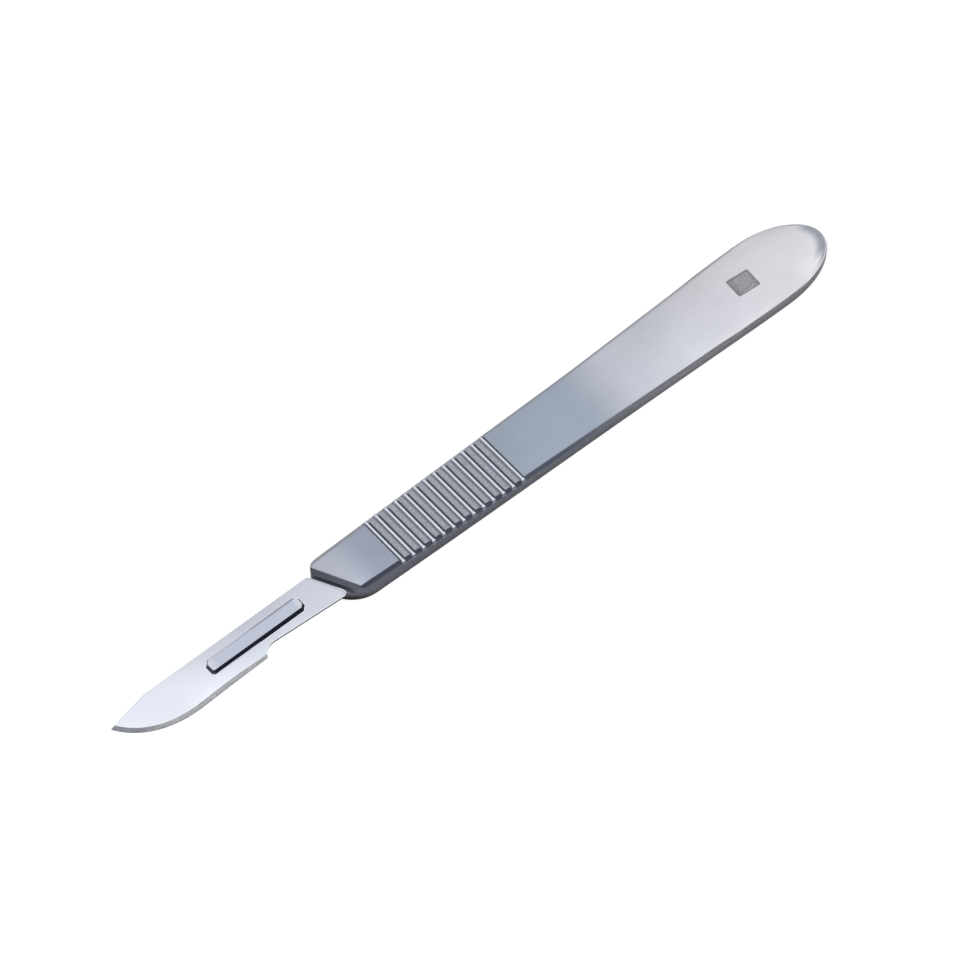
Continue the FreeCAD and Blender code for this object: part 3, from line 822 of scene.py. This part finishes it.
def blade_steel():
    """Bright steel: sides first, in painted shade with painted light where they face the heel's end,
    then the ground band, then the flat face over them.
    """
    s = SteelShader("blade_bright_steel", BLADE_EDGE_RADIUS, BLADE_EDGE_TURN, BLADE_GRAIN_SCALE)
    flatness = s.math("ABSOLUTE", s.nz)
    side = s.mix(s.rise(s.nx, HEEL_SIDE_FACING), BLADE_SIDE, BLADE_HEEL_SIDE)
    colour = s.mix(s.rise(flatness, GRIND_FACING), side, ground_band(s))
    colour = s.mix(s.rise(flatness, BLADE_FACE_FACING), colour, blade_face(s))
    ground = s.band(flatness, MATTE_FACING, MATTE_SOFT)
    roughness = s.mix_value(ground, *BLADE_ROUGHNESS)
    return s.finished(colour, roughness, s.times(s.grain, ground), BLADE_BUMP)


def seen_directly(nodes, links):
    """1 for camera, glossy and transmission rays, 0 for the light that falls on things."""
    path = nodes.new("ShaderNodeLightPath")
    total = path.outputs["Is Camera Ray"]
    for name in ("Is Glossy Ray", "Is Transmission Ray"):
        node = nodes.new("ShaderNodeMath")
        node.operation = "ADD"
        node.use_clamp = True
        links.new(total, node.inputs[0])
        links.new(path.outputs[name], node.inputs[1])
        total = node.outputs[0]
    return total


def floor_material():
    """Pale floor that shows white, and keeps the object's shadow."""
    s = Shader("white_floor")
    plain = s.nodes.new("ShaderNodeBsdfDiffuse")
    plain.inputs["Color"].default_value = (FLOOR_BOUNCE,) * 3 + (1.0,)
    shade = s.nodes.new("ShaderNodeBsdfDiffuse")
    shade.inputs["Color"].default_value = (FLOOR_SHADE,) * 3 + (1.0,)
    glow = s.nodes.new("ShaderNodeEmission")
    glow.inputs["Strength"].default_value = FLOOR_GLOW
    white = s.nodes.new("ShaderNodeAddShader")
    s.links.new(shade.outputs[0], white.inputs[0])
    s.links.new(glow.outputs[0], white.inputs[1])
    choice = s.nodes.new("ShaderNodeMixShader")
    s.links.new(seen_directly(s.nodes, s.links), choice.inputs[0])
    s.links.new(plain.outputs[0], choice.inputs[1])
    s.links.new(white.outputs[0], choice.inputs[2])
    s.links.new(choice.outputs[0], s.output.inputs["Surface"])
    return s.material


def make_floor():
    half = FLOOR_SIZE / 2.0
    mesh = bpy.data.meshes.new("floor")
    corners = [(-half, -half, 0), (half, -half, 0), (half, half, 0), (-half, half, 0)]
    mesh.from_pydata(corners, [], [(0, 1, 2, 3)])
    mesh.materials.append(floor_material())
    floor = bpy.data.objects.new("floor", mesh)
    bpy.context.scene.collection.objects.link(floor)


def make_world():
    """White surroundings: full white where they are seen, weaker as light."""
    world = bpy.data.worlds.new("studio")
    bpy.context.scene.world = world
    world.use_nodes = True
    nodes, links = world.node_tree.nodes, world.node_tree.links
    nodes.clear()
    background = nodes.new("ShaderNodeBackground")
    background.inputs["Color"].default_value = (1.0, 1.0, 1.0, 1.0)
    strength = nodes.new("ShaderNodeMapRange")
    strength.inputs["To Min"].default_value = WORLD_LIGHT
    strength.inputs["To Max"].default_value = 1.0
    links.new(seen_directly(nodes, links), strength.inputs["Value"])
    links.new(strength.outputs[0], background.inputs["Strength"])
    output = nodes.new("ShaderNodeOutputWorld")
    links.new(background.outputs[0], output.inputs["Surface"])


def place(azimuth, elevation, distance):
    """Point at a distance from the origin; azimuth 0 is the -y side, and angles are degrees."""
    around, up = math.radians(azimuth), math.radians(elevation)
    across = math.cos(up) * distance
    return Vector((math.sin(around) * across, -math.cos(around) * across, math.sin(up) * distance))


def make_lamp(name, azimuth, elevation, distance, size, radiance):
    """Round soft lamp that looks at the origin."""
    data = bpy.data.lights.new(name, "AREA")
    data.shape = "DISK"
    data.size = size
    area = math.pi * size * size / 4.0
    data.energy = math.pi * area * radiance
    lamp = bpy.data.objects.new(name, data)
    bpy.context.scene.collection.objects.link(lamp)
    lamp.location = place(azimuth, elevation, distance)
    lamp.rotation_mode = "QUATERNION"
    lamp.rotation_quaternion = lamp.location.to_track_quat("Z", "Y")


def make_camera():
    data = bpy.data.cameras.new("camera")
    data.lens = LENS
    data.clip_start = NEAREST_SEEN
    camera = bpy.data.objects.new("camera", data)
    bpy.context.scene.collection.objects.link(camera)
    back = place(AZIMUTH, ELEVATION, DISTANCE)
    camera.location = TARGET + back
    camera.rotation_mode = "QUATERNION"
    view_axis = Vector((0.0, 0.0, 1.0))
    upright = back.to_track_quat("Z", "Y")
    camera.rotation_quaternion = upright @ Quaternion(view_axis, math.radians(-ROLL))
    bpy.context.scene.camera = camera


def dress(node, material):
    """Gives a CAD node's mesh its one material."""
    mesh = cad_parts[node].data
    mesh.materials.clear()
    mesh.materials.append(material)


make_camera()
make_world()
make_floor()
for lamp in LAMPS:
    make_lamp(*lamp)
dress("handle", handle_steel())
dress("blade", blade_steel())

bpy.context.scene.view_settings.view_transform = "Standard"
